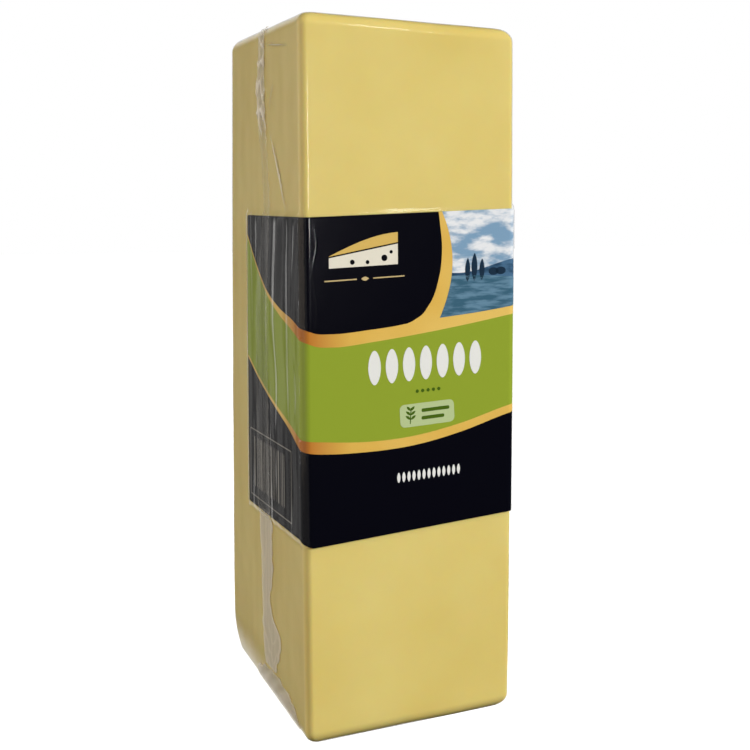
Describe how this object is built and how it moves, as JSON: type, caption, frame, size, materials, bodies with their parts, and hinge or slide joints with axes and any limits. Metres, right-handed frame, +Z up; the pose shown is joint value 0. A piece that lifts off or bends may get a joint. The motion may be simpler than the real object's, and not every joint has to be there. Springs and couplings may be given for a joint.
{
  "type": "cheddar block",
  "caption": "Tall rectangular deli block of pale yellow cheddar in clear shrink film, with a fin seam down one side and a plain printed label band round its middle.",
  "frame": {"origin": "middle of the foot that the block stands on", "axes": "+Z up along the block's length; -Y out of the printed front; -X out of the side with the fin seam"},
  "size_m": [0.0988, 0.106, 0.2984],
  "materials": {
    "cheese": "smooth young cheddar, pale butter yellow, seen through clear glossy film that clings to it",
    "label": "glossy printed film label in black, lime green, gold and a blue-toned picture",
    "film": "clear film, heat-sealed, crumpled and folded, whitish where it lies in layers"
  },
  "bodies": {
    "root": {"cheese_block": "cheese", "label_band": "label", "film_seam": "film", "foot_fold": "film", "end_seal": "film"}
  },
  "joints": []
}
